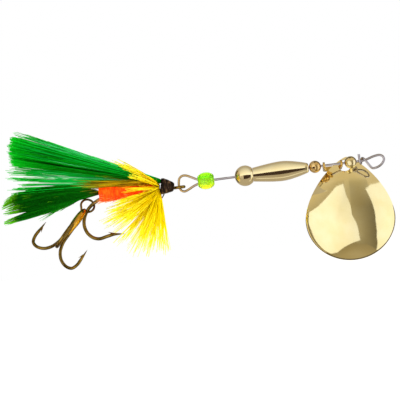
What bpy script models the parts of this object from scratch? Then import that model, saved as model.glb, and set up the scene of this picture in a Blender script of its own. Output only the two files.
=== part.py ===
"""Inline spinner: a wire shaft with a turned brass body, beads and a spinning blade, which tows a
tied fly and a trailing treble hook.

Frame: X runs along the shaft towards the line tie, Z is up, and the origin is on the shaft's axis
inside the line-tie eye. The spinner is modelled level, as it is towed, with its blade hanging.
Dimensions are in millimetres until MM turns them into metres.
"""

import math

import bmesh
import bpy
from mathutils import Matrix, Vector

MM = 0.001

# Wire shaft
WIRE_R = 0.25
WRAP_R = 0.56  # centre of the wrapped turns, one wire thickness off the axis
WRAP_PITCH = 0.90
WRAP_TURNS = 0.75  # from the top of the shaft, behind and under it, to its front
WRAP_START_X = -2.92
TAG_TOP_Z = 1.48

# Turned pieces on the shaft
BORE_R = 0.34
BEAD_R = 1.30
FRONT_BEAD_X = -5.50
REAR_BEAD_X = -13.08
SPINDLE_X = (-14.48, -26.24)
BALL_X = -27.95
BALL_R = 2.18
BALL_FACE_X = -26.32  # cut flat here, where it sits against the spindle
LOCK_BEAD_X = -36.28
LOCK_BEAD_R = 1.78
LOCK_BEAD_LENGTH = 3.46
LOCK_BEAD_BORE_R = 0.95

# Clevis: a brass strip bent into a U, its ears on the shaft and its bow behind the blade
CLEVIS_X = -9.30
CLEVIS_SPAN = 3.70  # between the middles of the legs
CLEVIS_THICK = 0.40
CLEVIS_LEG_WIDTH = 0.95
CLEVIS_EAR_R = 0.72
CLEVIS_REACH = 3.10  # from the shaft's axis to the middle of the bow
CLEVIS_TURN = math.radians(15)  # how far the bow has dropped from level

# Blade: a deep egg-shaped spoon, convex towards -Y
BLADE_LENGTH = 22.0
BLADE_WIDTH = 19.1
BLADE_THICK = 0.45
BLADE_DEPTH = 3.40
BLADE_TOP = (-6.05, 1.30)  # X and Z of the narrow end
BLADE_RIM_Y = 2.05
BLADE_LEAN = math.radians(3.3)
BLADE_MIDDLE = 0.6  # the widest place, as a share of the length
BLADE_HOLE_R = 1.35
BLADE_HOLE = (-6.68, -0.62)

# Fly hook
HOOK_R = 0.38
HOOK_EYE_R = 0.88
HOOK_EYE_X = -41.90
SHANK_Z_FRONT = -0.65
SHANK_Z_REAR = -0.90
SHANK_X_FRONT = -43.70
SHANK_X_REAR = -58.30
LOOP_X = -42.05  # the shaft's rear loop passes down through the hook's eye here

# Dressing of the fly
HEAD_X = (-43.15, -45.85)
HEAD_Z = (-0.42, 0.08)
STEM_X = (-46.20, -46.80)
WRAP_X = (-46.88, -59.00)
WRAP_Z = (-0.20, 0.08)
THREAD_BASE_R = 0.48
HACKLE_R = 12.0
HACKLE_GAP = math.radians(110)  # open at the top, where the wing passes

# Treble hook
TREBLE_WIRE_R = 0.34
TREBLE_EYE_WIRE_R = 0.25
TREBLE_EYE = (-61.74, 0.06, -2.06)
TREBLE_HINGE = (-61.30, 0.0, -2.42)  # the middle of the fly hook's wire, inside the treble's eye
TREBLE_SLOPE = math.radians(48.5)
TREBLE_TILT = math.radians(33)  # the shank comes towards -Y by this
TREBLE_EYE_LONG = 1.50
TREBLE_EYE_WIDE = 1.42
TREBLE_BUNDLE_R = 0.42

GAP = 0.04  # clearance of a piece that is wound or formed around another


def clear_scene():
    for obj in list(bpy.data.objects):
        bpy.data.objects.remove(obj, do_unlink=True)


def new_collection(name):
    collection = bpy.data.collections.new(name)
    bpy.context.scene.collection.children.link(collection)
    return collection


def material(name, color, roughness, metallic=0.0, transmission=0.0):
    made = bpy.data.materials.new(name)
    made.use_nodes = True
    shader = made.node_tree.nodes["Principled BSDF"]
    shader.inputs["Base Color"].default_value = (*color, 1.0)
    shader.inputs["Roughness"].default_value = roughness
    shader.inputs["Metallic"].default_value = metallic
    shader.inputs["Transmission Weight"].default_value = transmission
    return made


def add_object(name, data, look, origin=(0, 0, 0), collection=None):
    """Links a new object whose data is already relative to its origin, given in millimetres."""
    obj = bpy.data.objects.new(name, data)
    obj.location = Vector(origin) * MM
    (collection or PARTS).objects.link(obj)
    if look is not None:
        data.materials.append(look)
    return obj


def add_pivot(name, origin):
    pivot = bpy.data.objects.new(name, None)
    pivot.location = Vector(origin) * MM
    pivot.empty_display_size = 2 * MM
    PARTS.objects.link(pivot)
    return pivot


def attach(obj, pivot):
    """Parents an object without moving it; a pivot is only ever shifted, never turned."""
    obj.parent = pivot
    obj.matrix_parent_inverse = Matrix.Translation(-pivot.location)


def make_cutter(obj):
    for collection in list(obj.users_collection):
        collection.objects.unlink(obj)
    CUTTERS.objects.link(obj)
    obj.hide_render = True
    obj.display_type = "WIRE"
    return obj


def add_boolean(obj, other, operation):
    modifier = obj.modifiers.new(operation.lower(), "BOOLEAN")
    modifier.operation = operation
    modifier.object = other
    modifier.solver = "EXACT"


def shade_round(mesh):
    mesh.shade_smooth()
    mesh.set_sharp_from_angle(angle=math.radians(40))


def smooth_path(points, step=0.6, straight=4.0):
    """Points along a centripetal Catmull-Rom curve. Spans longer than straight stay straight."""
    points = [Vector(p) for p in points]
    ends = [2 * points[0] - points[1], *points, 2 * points[-1] - points[-2]]
    path = [points[0]]
    for a, b, c, d in zip(ends, ends[1:], ends[2:], ends[3:]):
        knots = [0.0]
        for start, end in ((a, b), (b, c), (c, d)):
            knots.append(knots[-1] + max((end - start).length, 1e-6) ** 0.5)
        k0, k1, k2, k3 = knots
        length = (c - b).length
        steps = 1 if length > straight else max(1, round(length / step))
        for i in range(1, steps + 1):
            t = k1 + (k2 - k1) * i / steps
            ab = a.lerp(b, (t - k0) / (k1 - k0))
            bc = b.lerp(c, (t - k1) / (k2 - k1))
            cd = c.lerp(d, (t - k2) / (k3 - k2))
            abc = ab.lerp(bc, (t - k0) / (k2 - k0))
            bcd = bc.lerp(cd, (t - k1) / (k3 - k1))
            path.append(abc.lerp(bcd, (t - k1) / (k2 - k1)))
    return path


def tube(name, path, radius, look, origin=(0, 0, 0), shrink=None):
    """A wire along path. shrink gives each point's share of the radius."""
    curve = bpy.data.curves.new(name, "CURVE")
    curve.dimensions = "3D"
    curve.bevel_depth = radius * MM
    curve.bevel_resolution = 2
    curve.use_fill_caps = True
    spline = curve.splines.new("POLY")
    spline.points.add(len(path) - 1)
    for i, place in enumerate(path):
        spline.points[i].co = (*((Vector(place) - Vector(origin)) * MM), 1.0)
        spline.points[i].radius = shrink[i] if shrink else 1.0
    return add_object(name, curve, look, origin)


def as_mesh(obj):
    """Replaces a curve object by a closed mesh object of the same name."""
    bpy.context.view_layer.update()
    graph = bpy.context.evaluated_depsgraph_get()
    mesh = bpy.data.meshes.new_from_object(obj.evaluated_get(graph))
    shape = bmesh.new()
    shape.from_mesh(mesh)
    bmesh.ops.remove_doubles(shape, verts=shape.verts, dist=1e-7)
    bmesh.ops.recalc_face_normals(shape, faces=shape.faces)
    shape.to_mesh(mesh)
    shape.free()
    name, look = obj.name, (obj.data.materials[0] if obj.data.materials else None)
    place = obj.matrix_world.copy()
    bpy.data.objects.remove(obj, do_unlink=True)
    mesh.name = name
    mesh.materials.clear()
    made = add_object(name, mesh, look)
    made.matrix_world = place
    shade_round(mesh)
    return made


def turned(name, profile, look, origin, direction=(1, 0, 0), segments=28):
    """A solid of revolution. profile lists (radius, distance along direction), down its outer side,
    and either ends on the axis at both ends or comes back up a bore."""
    mesh = bpy.data.meshes.new(name)
    shape = bmesh.new()
    verts = [shape.verts.new((r * MM, 0, h * MM)) for r, h in profile]
    for a, b in zip(verts, verts[1:]):
        shape.edges.new((a, b))
    if profile[0][0] > 0:
        shape.edges.new((verts[-1], verts[0]))
    shape.to_mesh(mesh)
    shape.free()
    obj = add_object(name, mesh, look, origin)
    obj.rotation_mode = "QUATERNION"
    obj.rotation_quaternion = Vector(direction).to_track_quat("Z", "Y")
    screw = obj.modifiers.new("turn", "SCREW")
    screw.angle = math.tau
    screw.steps = screw.render_steps = segments
    screw.use_merge_vertices = True
    screw.merge_threshold = 1e-6
    screw.use_smooth_shade = True
    return obj


def outline_slab(name, outline, thickness, look, origin):
    """A flat outline in X and Y, extruded both ways along Z, as a closed mesh."""
    curve = bpy.data.curves.new(name, "CURVE")
    curve.dimensions = "2D"
    curve.fill_mode = "BOTH"
    curve.extrude = thickness / 2 * MM
    spline = curve.splines.new("POLY")
    spline.points.add(len(outline) - 1)
    spline.use_cyclic_u = True
    for point, (x, y) in zip(spline.points, outline):
        point.co = (x * MM, y * MM, 0, 1)
    return as_mesh(add_object(name, curve, look, origin))


def arc(centre, radius, start, end, steps):
    """Points of an arc in a plane, with angles in degrees."""
    angles = [math.radians(start + (end - start) * i / steps) for i in range(steps + 1)]
    return [(centre[0] + radius * math.cos(a), centre[1] + radius * math.sin(a)) for a in angles]


def loft(name, rings, look, origin=(0, 0, 0)):
    """A closed skin over rings of equally many points, capped at both ends."""
    mesh = bpy.data.meshes.new(name)
    shape = bmesh.new()
    rows = [[shape.verts.new((Vector(p) - Vector(origin)) * MM) for p in ring] for ring in rings]
    for row, following in zip(rows, rows[1:]):
        for i in range(len(row)):
            j = (i + 1) % len(row)
            shape.faces.new((row[i], row[j], following[j], following[i]))
    shape.faces.new(rows[0])
    shape.faces.new(rows[-1])
    bmesh.ops.recalc_face_normals(shape, faces=shape.faces)
    shape.to_mesh(mesh)
    shape.free()
    shade_round(mesh)
    return add_object(name, mesh, look, origin)


def cylinder_cutter(name, radius, start, end, segments=24):
    start, end = Vector(start), Vector(end)
    half = (end - start).length / 2
    profile = [(0, half), (radius, half), (radius, -half), (0, -half)]
    middle = (start + end) / 2
    return make_cutter(turned(name, profile, None, middle, end - start, segments))


# The shaft and what is threaded on it


def line_tie_path():
    """From the tag's end down the wrapped turns, round the eye and back onto the axis."""
    tag = [(WRAP_START_X - WRAP_TURNS * WRAP_PITCH - 0.02, -WRAP_R - 0.02, z) for z in (TAG_TOP_Z, 0.5)]
    turns = []
    steps = 12
    for i in range(steps, -1, -1):
        turn = WRAP_TURNS * i / steps
        angle = math.pi / 2 - math.tau * turn
        x = WRAP_START_X - WRAP_PITCH * turn
        turns.append((x, WRAP_R * math.cos(angle), WRAP_R * math.sin(angle)))
    eye = [
        (-2.70, -0.40, 0.40),
        (-2.35, -0.56, -0.04),
        (-1.85, -0.38, -0.82),
        (-1.42, -0.14, -1.46),
        (-1.00, 0, -1.82),
        (-0.20, 0, -1.78),
        (0.60, 0, -1.46),
        (1.25, 0, -0.92),
        (1.60, 0, -0.25),
        (1.42, 0, 0.38),
        (0.92, 0, 0.72),
        (0.30, 0, 0.77),
        (-0.85, 0, 0.56),
        (-2.05, 0, 0.18),
        (-3.00, 0, 0),
    ]
    return tag + turns + eye


def rear_loop_path():
    """From the axis through the lock bead, round the loop and back into the bead."""
    return [
        (-33.0, 0, 0),
        (-34.4, 0, 0),
        (-36.2, 0, 0.18),
        (-38.0, 0, 0.50),
        (-39.2, 0, 1.10),
        (-40.3, 0, 1.62),
        (-41.1, 0, 1.66),
        (-41.75, 0, 1.22),
        (-42.0, 0, 0.45),
        (LOOP_X, 0, -0.35),
        (-41.95, 0, -0.95),
        (-41.6, 0, -1.45),
        (-41.0, 0, -1.66),
        (-40.2, 0, -1.40),
        (-39.1, 0, -0.85),
        (-38.0, 0, -0.48),
        (-36.8, 0, -0.52),
        (-35.6, 0, -0.61),
    ]


def build_shaft():
    path = line_tie_path() + [(-4.5, 0, 0), (-6.0, 0, 0)] + rear_loop_path()
    tube("shaft_wire", smooth_path(path), WIRE_R, STEEL)


def bead_profile(radius, bore):
    """A round bead, down its outer side and back up its bore."""
    edge = math.degrees(math.acos(bore / radius))
    return arc((0, 0), radius, edge, -edge, 12)


def build_beads():
    for name, x, look in (("front_bead", FRONT_BEAD_X, BRASS), ("rear_bead", REAR_BEAD_X, COPPERY)):
        turned(name, bead_profile(BEAD_R, BORE_R), look, (x, 0, 0))


def build_body_weight():
    """A turned spindle, and behind it a ball with a flat front face."""
    front, rear = SPINDLE_X
    side = [(0.83, front), (0.98, -14.62), (1.25, -15.4), (1.66, -17.0), (2.00, -18.8), (2.10, -20.2)]
    side += [(2.02, -21.8), (1.82, -23.6), (1.60, -25.2), (1.46, rear)]
    side = [(p.x, p.y) for p in smooth_path([(r, x, 0) for r, x in side], 1.0)]
    outer = [(BORE_R, front), *side, (BORE_R, rear)]
    middle = (front + rear) / 2
    turned("body_weight", [(r, x - middle) for r, x in outer], BRASS, (middle, 0, 0), segments=30)

    face = math.degrees(math.asin((BALL_FACE_X - BALL_X) / BALL_R))
    tail = -math.degrees(math.acos(BORE_R / BALL_R))
    profile = [(BORE_R, BALL_FACE_X - BALL_X), *arc((0, 0), BALL_R, face, tail, 12)]
    turned("rear_ball", profile, BRASS, (BALL_X, 0, 0), segments=30)


def build_lock_bead():
    """A short barrel: a superellipse cut square at its ends."""
    power, half_length = 2.4, LOCK_BEAD_LENGTH / 2
    reach = 1.95
    profile = [(LOCK_BEAD_BORE_R, half_length)]
    steps = 10
    for i in range(steps + 1):
        h = half_length * (1 - 2 * i / steps)
        profile.append((LOCK_BEAD_R * (1 - abs(h / reach) ** power) ** (1 / power), h))
    profile.append((LOCK_BEAD_BORE_R, -half_length))
    turned("lock_bead", profile, CHARTREUSE, (LOCK_BEAD_X, 0, 0), segments=32)


# Clevis and blade


def build_clevis():
    half = CLEVIS_SPAN / 2
    outer, inner = half + CLEVIS_THICK / 2, half - CLEVIS_THICK / 2
    bow_out, bow_in = CLEVIS_REACH + CLEVIS_THICK / 2, CLEVIS_REACH - CLEVIS_THICK / 2
    bend_out, bend_in = 0.95, 0.55
    front = -CLEVIS_EAR_R - 0.2
    strip = [(-outer, front)]
    strip += arc((-outer + bend_out, bow_out - bend_out), bend_out, 180, 90, 5)
    strip += arc((outer - bend_out, bow_out - bend_out), bend_out, 90, 0, 5)
    strip += [(outer, front), (inner, front)]
    strip += arc((inner - bend_in, bow_in - bend_in), bend_in, 0, 90, 5)
    strip += arc((-inner + bend_in, bow_in - bend_in), bend_in, 90, 180, 5)
    strip += [(-inner, front)]
    clevis = outline_slab("clevis", strip, 2 * CLEVIS_EAR_R + 0.4, BRASS, (CLEVIS_X, 0, 0))
    clevis.rotation_euler = (-CLEVIS_TURN, 0, 0)

    side = CLEVIS_LEG_WIDTH / 2
    meet = math.degrees(math.asin(side / CLEVIS_EAR_R))
    ear = arc((0, 0), CLEVIS_EAR_R, 180 - (90 - meet), 360 + (90 - meet), 16)
    shape = [(-side, 2 * CLEVIS_REACH), *ear, (side, 2 * CLEVIS_REACH)]
    trim = outline_slab("clevis_trim", shape, 2 * CLEVIS_SPAN, None, (CLEVIS_X, 0, 0))
    turn = Matrix.Rotation(-CLEVIS_TURN, 4, "X") @ Matrix.Rotation(math.radians(90), 4, "Y")
    trim.matrix_world = Matrix.Translation(trim.location) @ turn
    add_boolean(clevis, make_cutter(trim), "INTERSECT")
    reach = (CLEVIS_SPAN, 0, 0)
    middle = Vector((CLEVIS_X, 0, 0))
    bore = cylinder_cutter("clevis_bore", BORE_R, middle - Vector(reach), middle + Vector(reach))
    add_boolean(clevis, bore, "DIFFERENCE")


def blade_half_width(share):
    """Half the blade's width at a share of its length from the narrow end."""
    if share >= BLADE_MIDDLE:
        away = (share - BLADE_MIDDLE) / (1 - BLADE_MIDDLE)
        return BLADE_WIDTH / 2 * math.sqrt(max(0.0, 1 - away**2))
    away = (BLADE_MIDDLE - share) / BLADE_MIDDLE
    return BLADE_WIDTH / 2 * max(0.0, 1 - away**1.7) ** 0.75


def blade_outline(count):
    """Points (across, along) round the outline, measured from the narrow end."""
    half = []
    for i in range(count + 1):
        share = (1 - math.cos(math.pi * i / count)) / 2
        half.append((blade_half_width(share), share * BLADE_LENGTH))
    return half + [(-w, v) for w, v in reversed(half[1:-1])]


def blade_point(across, along, rise):
    x = BLADE_TOP[0] + across * math.cos(BLADE_LEAN) - along * math.sin(BLADE_LEAN)
    z = BLADE_TOP[1] - across * math.sin(BLADE_LEAN) - along * math.cos(BLADE_LEAN)
    return Vector((x, BLADE_RIM_Y - rise, z))


def build_blade():
    middle = BLADE_MIDDLE * BLADE_LENGTH
    outline = blade_outline(24)
    leg_x = CLEVIS_X + CLEVIS_SPAN / 2
    pivot = Vector((leg_x, 1.60, -1.60 * math.tan(CLEVIS_TURN)))
    mesh = bpy.data.meshes.new("blade")
    shape = bmesh.new()
    steps = 8
    top = shape.verts.new((blade_point(0, middle, BLADE_DEPTH) - pivot) * MM)
    rings = []
    for i in range(1, steps + 1):
        share = i / steps
        rise = BLADE_DEPTH * (1 - share**2)
        ring = [blade_point(w * share, middle + (v - middle) * share, rise) for w, v in outline]
        rings.append([shape.verts.new((p - pivot) * MM) for p in ring])
    count = len(outline)
    for i in range(count):
        shape.faces.new((top, rings[0][(i + 1) % count], rings[0][i]))
    for ring, following in zip(rings, rings[1:]):
        for i in range(count):
            j = (i + 1) % count
            shape.faces.new((ring[i], ring[j], following[j], following[i]))
    bmesh.ops.recalc_face_normals(shape, faces=shape.faces)
    shape.to_mesh(mesh)
    shape.free()
    shade_round(mesh)
    blade = add_object("blade", mesh, GOLD, pivot)
    plate = blade.modifiers.new("plate", "SOLIDIFY")
    plate.thickness = BLADE_THICK * MM
    plate.offset = 1.0 if mesh.polygons[0].normal.y > 0 else -1.0
    along = Vector((0, math.cos(CLEVIS_TURN), -math.sin(CLEVIS_TURN)))
    hole = Vector((BLADE_HOLE[0], BLADE_RIM_Y, BLADE_HOLE[1]))
    cutter = cylinder_cutter("blade_hole", BLADE_HOLE_R, hole - 2 * along, hole + 2 * along, 32)
    add_boolean(blade, cutter, "DIFFERENCE")


# The fly


def shank_point(x):
    share = (SHANK_X_FRONT - x) / (SHANK_X_FRONT - SHANK_X_REAR)
    return Vector((x, 0, SHANK_Z_FRONT + share * (SHANK_Z_REAR - SHANK_Z_FRONT)))


def fly_hook_path():
    """From the wire's end at the eye, round the eye, along the shank and bend to the point."""
    eye = [(x, y, SHANK_Z_FRONT) for x, y in arc((HOOK_EYE_X, 0), HOOK_EYE_R, 215, 505, 14)]
    shank = [(-43.15, 0.16, SHANK_Z_FRONT), tuple(shank_point(SHANK_X_FRONT))]
    shank += [tuple(shank_point(-44.8)), tuple(shank_point(-57.0)), tuple(shank_point(SHANK_X_REAR))]
    bend = [
        (-59.2, 0, -1.12),
        (-60.3, 0, -1.68),
        (-61.4, 0, -2.50),
        (-62.3, 0, -3.65),
        (-62.85, 0, -5.00),
        (-62.95, 0, -6.30),
        (-62.5, 0, -7.75),
        (-61.4, 0, -8.90),
        (-60.1, 0, -9.30),
        (-58.6, 0, -9.03),
        (-57.2, 0, -8.78),
        (-55.7, 0, -8.84),
        (-54.6, 0, -8.95),
    ]
    return smooth_path(eye + shank + bend)


def build_fly_hook():
    path = fly_hook_path()
    eye_points = 15
    taper_from, tip = -57.6, -54.6
    shrink = []
    for i, place in enumerate(path):
        if i < eye_points:
            shrink.append(0.9)
        elif place.z < -7.5 and place.x > taper_from:
            shrink.append(max(0.08, (tip - place.x) / (tip - taper_from)) ** 0.8)
        else:
            shrink.append(1.0)
    hook = as_mesh(tube("fly_hook", path, HOOK_R, BRONZE, shrink=shrink))
    root, point = Vector((-56.75, 0, -8.72)), Vector((-58.15, 0, -8.12))
    length = (point - root).length
    cone = [(0, length), (0.02, length), (0.22, 0), (0, 0)]
    spike = turned("fly_hook_barb", cone, None, root, point - root, 10)
    add_boolean(hook, make_cutter(spike), "UNION")
    return hook


def clearance_of_hook():
    """A copy of the hook's front, fatter by the gap, which cuts its way through what is wound on it."""
    path = [p for p in fly_hook_path() if p.z > -1.0 and p.x > SHANK_X_REAR]
    return make_cutter(as_mesh(tube("hook_clearance", path, HOOK_R + GAP, None)))


def build_thread_base():
    front, rear = shank_point(-46.2), shank_point(-58.5)
    half = (rear - front).length / 2
    inner = HOOK_R + GAP
    profile = [(THREAD_BASE_R, half), (THREAD_BASE_R, -half), (inner, -half), (inner, half)]
    return turned("thread_base", profile, BLACK_THREAD, (front + rear) / 2, front - rear, 16)


def build_head(clearance):
    front = Vector((HEAD_X[0], 0, HEAD_Z[0]))
    rear = Vector((HEAD_X[1], 0, HEAD_Z[1]))
    length = (rear - front).length
    side = [(0.62, 0.0), (0.82, 0.15), (1.12, 0.8), (1.42, 1.6), (1.62, 2.3), (1.60, length)]
    side = [(p.x, p.y) for p in smooth_path([(r, h, 0) for r, h in side], 0.35)]
    profile = [(0, length / 2)] + [(r, length / 2 - h) for r, h in side] + [(0, -length / 2)]
    head = turned("thread_head", profile, BLACK_THREAD, (front + rear) / 2, front - rear, 32)
    add_boolean(head, clearance, "DIFFERENCE")
    tag_path = [(-45.30, 0, -1.78), (-45.62, 0, -2.06), (-45.92, 0, -2.40)]
    tag = tube("thread_tag", tag_path, 0.13, BLACK_THREAD)
    return head, tag


def wrap_axis(x):
    share = (WRAP_X[0] - x) / (WRAP_X[0] - WRAP_X[1])
    return Vector((x, 0, WRAP_Z[0] + share * (WRAP_Z[1] - WRAP_Z[0])))


def build_wraps():
    """The wound hackle stem and the floss body, bored for the thread base that they lie on."""
    bore = cylinder_cutter("wrap_bore", THREAD_BASE_R + GAP, shank_point(-45.0), shank_point(-61.0))
    front, rear = wrap_axis(WRAP_X[0]), wrap_axis(WRAP_X[1])
    length = (rear - front).length
    side = [(1.08, 0), (1.14, 1.2), (1.34, 4.0), (1.60, 7.5), (1.76, 10.6), (1.74, 11.8), (1.55, length)]
    side = [(p.x, p.y) for p in smooth_path([(r, h, 0) for r, h in side], 1.2)]
    profile = [(0, length / 2)] + [(r, length / 2 - h) for r, h in side] + [(0, -length / 2)]
    floss = turned("floss_body", profile, ORANGE, (front + rear) / 2, front - rear, 32)
    front, rear = wrap_axis(STEM_X[0]), wrap_axis(STEM_X[1])
    half = (rear - front).length / 2
    profile = [(0, half), (1.02, half), (1.16, half * 0.4), (1.16, -half * 0.4), (1.05, -half), (0, -half)]
    stem = turned("hackle_stem", profile, YELLOW, (front + rear) / 2, front - rear, 24)
    for piece in (floss, stem):
        add_boolean(piece, bore, "DIFFERENCE")
    return floss, stem


def build_hackle():
    """The hackle's fibres as one swept-back collar, open at the top."""
    root, rim = (-46.50, 1.30), (-51.50, HACKLE_R)
    thick = 0.55
    slope = Vector((rim[0] - root[0], rim[1] - root[1])).normalized()
    off = Vector((slope.y, -slope.x)) * thick / 2
    rings = []
    steps = 20
    for i in range(steps + 1):
        angle = HACKLE_GAP / 2 + (math.tau - HACKLE_GAP) * i / steps
        ring = []
        for (x, r), side in ((root, 1), (rim, 1), (rim, -1), (root, -1)):
            x, r = x + off.x * side, r + off.y * side
            centre = wrap_axis(x).z
            ring.append((x, r * math.sin(angle), centre + r * math.cos(angle)))
        rings.append(ring)
    return loft("hackle_fibres", rings, YELLOW)


def hair_ring(x, low, high, middle_y, half_width, count=12):
    """An oval section across X, from low to high."""
    ring = []
    for i in range(count):
        a = math.tau * i / count
        z = (low + high) / 2 + (high - low) / 2 * math.cos(a)
        ring.append((x, middle_y + half_width * math.sin(a), z))
    return ring


def build_wing():
    sections = [
        (-46.10, 1.12, 1.56, 0.65),
        (-48.00, 1.45, 2.80, 1.10),
        (-51.00, 1.95, 4.50, 1.60),
        (-56.00, 2.50, 6.90, 2.00),
        (-62.00, 3.40, 10.00, 2.40),
        (-70.00, 4.80, 13.90, 2.90),
        (-77.00, 5.60, 16.00, 3.10),
    ]
    return loft("wing_hair", [hair_ring(x, a, b, 0, w) for x, a, b, w in sections], GREEN)


def build_tail():
    sections = [
        (-59.15, 0.05, 0.90, 0.22),
        (-61.50, 0.00, 1.70, 0.30),
        (-65.00, -0.90, 2.45, 0.40),
        (-68.00, -1.60, 2.75, 0.42),
        (-71.50, -2.30, 2.60, 0.42),
        (-75.50, -3.00, 2.00, 0.38),
        (-79.20, -3.60, 1.20, 0.30),
    ]
    feathers = []
    for name, middle_y in (("tail_feather_near", -0.48), ("tail_feather_far", 0.48)):
        rings = [hair_ring(x, a, b, middle_y, w) for x, a, b, w in sections]
        feathers.append(loft(name, rings, DARK_GREEN))
    return feathers


# The treble hook


def treble_axes():
    """The shank's direction, and two directions across it: to the lower right and to the front."""
    level = Vector((-math.cos(TREBLE_SLOPE), 0, -math.sin(TREBLE_SLOPE)))
    shank = level * math.cos(TREBLE_TILT) - Vector((0, math.sin(TREBLE_TILT), 0))
    right = Vector((math.sin(TREBLE_SLOPE), 0, -math.cos(TREBLE_SLOPE)))
    return shank, right, shank.cross(right)


def treble_point(along, out, degrees):
    shank, right, front = treble_axes()
    a = math.radians(degrees)
    across = right * math.cos(a) + front * math.sin(a)
    return Vector(TREBLE_EYE) + shank * along + across * out


def treble_leg(degrees):
    """One hook from the bottom of the eye to its point."""
    r = TREBLE_BUNDLE_R
    stations = [(1.9, r), (2.6, r), (8.6, r), (9.7, r)]
    stations += [(10.9, 0.55), (12.6, 1.22), (13.65, 2.47), (13.8, 4.2), (13.0, 5.6), (11.4, 6.15)]
    stations += [(9.9, 6.15), (8.5, 6.1), (7.2, 6.05)]
    return [treble_point(w, out, degrees) for w, out in stations]


def tapered(path):
    """Shares of the radius that bring the last 3 mm down to a point."""
    left, shares = 0.0, [0.1]
    for a, b in zip(path[::-1], path[::-1][1:]):
        left += (a - b).length
        shares.append(min(1.0, 0.1 + 0.9 * (left / 3.0) ** 0.8))
    return shares[::-1]


def build_treble():
    """A double hook bent from one wire with its eye, a single hook, and the braze between them."""
    centre = Vector(TREBLE_EYE)
    shank = treble_axes()[0]
    across = treble_axes()[1]
    eye = []
    for x, y in arc((0, 0), 1, -42, -318, 18):
        eye.append(centre + shank * TREBLE_EYE_LONG * x + across * TREBLE_EYE_WIDE * y)
    left, right = treble_leg(210), treble_leg(-30)
    path = smooth_path(left[::-1] + eye + right)
    half = len(path) // 2
    shrink = tapered(path[:half][::-1])[::-1] + tapered(path[half:])
    thin = TREBLE_EYE_WIRE_R / TREBLE_WIRE_R
    for i, place in enumerate(path):
        past_eye = ((place - centre).dot(shank) - TREBLE_EYE_LONG) / 1.2
        shrink[i] *= thin + (1 - thin) * min(1.0, max(0.0, past_eye))
    pair = tube("treble_pair", path, TREBLE_WIRE_R, BRONZE, TREBLE_EYE, shrink)
    path = smooth_path(treble_leg(90))
    third = tube("treble_third", path, TREBLE_WIRE_R, BRONZE, TREBLE_EYE, tapered(path))

    start, end = centre + shank * 2.2, centre + shank * 8.1
    half = (end - start).length / 2
    outer, core = 0.66, 0.52
    profile = [(0, half), (core, half), (outer, half - 0.3), (outer, 0.3 - half), (core, -half), (0, -half)]
    braze = turned("treble_braze", profile, BRAZE, (start + end) / 2, start - end, 24)
    for degrees in (90, 210, -30):
        ends = [treble_point(w, TREBLE_BUNDLE_R, degrees) for w in (1.9, 8.8)]
        cutter = cylinder_cutter(f"braze_channel_{degrees}", TREBLE_WIRE_R + 0.02, *ends, 16)
        add_boolean(braze, cutter, "DIFFERENCE")
    return [pair, third, braze]


clear_scene()
PARTS = new_collection("inline_spinner")
CUTTERS = new_collection("cutters")

STEEL = material("stainless_wire", (0.62, 0.61, 0.60), 0.18, 1.0)
BRASS = material("polished_brass", (0.86, 0.70, 0.36), 0.15, 1.0)
COPPERY = material("warm_brass", (0.80, 0.56, 0.26), 0.2, 1.0)
GOLD = material("gold_plate", (0.92, 0.78, 0.45), 0.08, 1.0)
CHARTREUSE = material("chartreuse_bead", (0.45, 0.90, 0.02), 0.1, 0.0, 0.6)
BRONZE = material("bronzed_hook", (0.32, 0.22, 0.08), 0.25, 1.0)
BRAZE = material("brass_braze", (0.80, 0.52, 0.12), 0.25, 1.0)
BLACK_THREAD = material("black_thread", (0.02, 0.015, 0.012), 0.35)
ORANGE = material("orange_floss", (0.95, 0.18, 0.01), 0.6)
YELLOW = material("yellow_hackle", (0.98, 0.80, 0.02), 0.6)
GREEN = material("green_hair", (0.01, 0.42, 0.05), 0.5)
DARK_GREEN = material("dark_green_feather", (0.01, 0.20, 0.03), 0.5)

build_shaft()
build_beads()
build_body_weight()
build_lock_bead()
build_clevis()
build_blade()

fly_pivot = add_pivot("fly_pivot", (LOOP_X, 0, SHANK_Z_FRONT))
fly_parts = [build_fly_hook(), build_thread_base(), build_hackle(), build_wing(), *build_tail()]
fly_parts += [*build_head(clearance_of_hook()), *build_wraps()]
for piece in fly_parts:
    attach(piece, fly_pivot)

treble_pivot = add_pivot("treble_pivot", TREBLE_HINGE)
attach(treble_pivot, fly_pivot)
for piece in build_treble():
    attach(piece, treble_pivot)
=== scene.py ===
"""Looks of the inline spinner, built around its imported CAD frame.

Metres in the scene, millimetres in the tables and helpers below; +X towards the line, +Z up.
Every moving body keeps its CAD place: turned and bent metal pieces are finer versions of their
nodes, and the soft solids of the fly are replaced by the separate hairs and fibres they stand for.
"""

import math
from math import cos, pi, radians, sin

import bmesh
import bpy
import numpy as np
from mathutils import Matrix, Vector


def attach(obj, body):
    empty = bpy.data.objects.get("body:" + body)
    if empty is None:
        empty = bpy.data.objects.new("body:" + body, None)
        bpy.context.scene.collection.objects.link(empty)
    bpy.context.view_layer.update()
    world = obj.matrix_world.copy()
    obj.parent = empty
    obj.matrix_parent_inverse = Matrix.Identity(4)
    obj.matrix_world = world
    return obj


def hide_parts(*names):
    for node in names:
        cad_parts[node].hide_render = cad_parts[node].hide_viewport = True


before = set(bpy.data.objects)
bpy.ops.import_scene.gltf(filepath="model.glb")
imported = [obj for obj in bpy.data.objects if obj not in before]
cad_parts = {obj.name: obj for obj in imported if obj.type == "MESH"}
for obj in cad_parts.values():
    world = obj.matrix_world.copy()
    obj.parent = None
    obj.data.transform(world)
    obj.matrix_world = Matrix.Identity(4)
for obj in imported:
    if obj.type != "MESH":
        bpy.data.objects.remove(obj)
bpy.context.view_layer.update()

MM = 0.001
TAU = math.tau
NOISE = (0.3, 0.7)  # the range in which a noise texture mostly lies
RNG = np.random.default_rng(20)
uniform, normal = RNG.uniform, RNG.normal


# ---- materials


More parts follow.
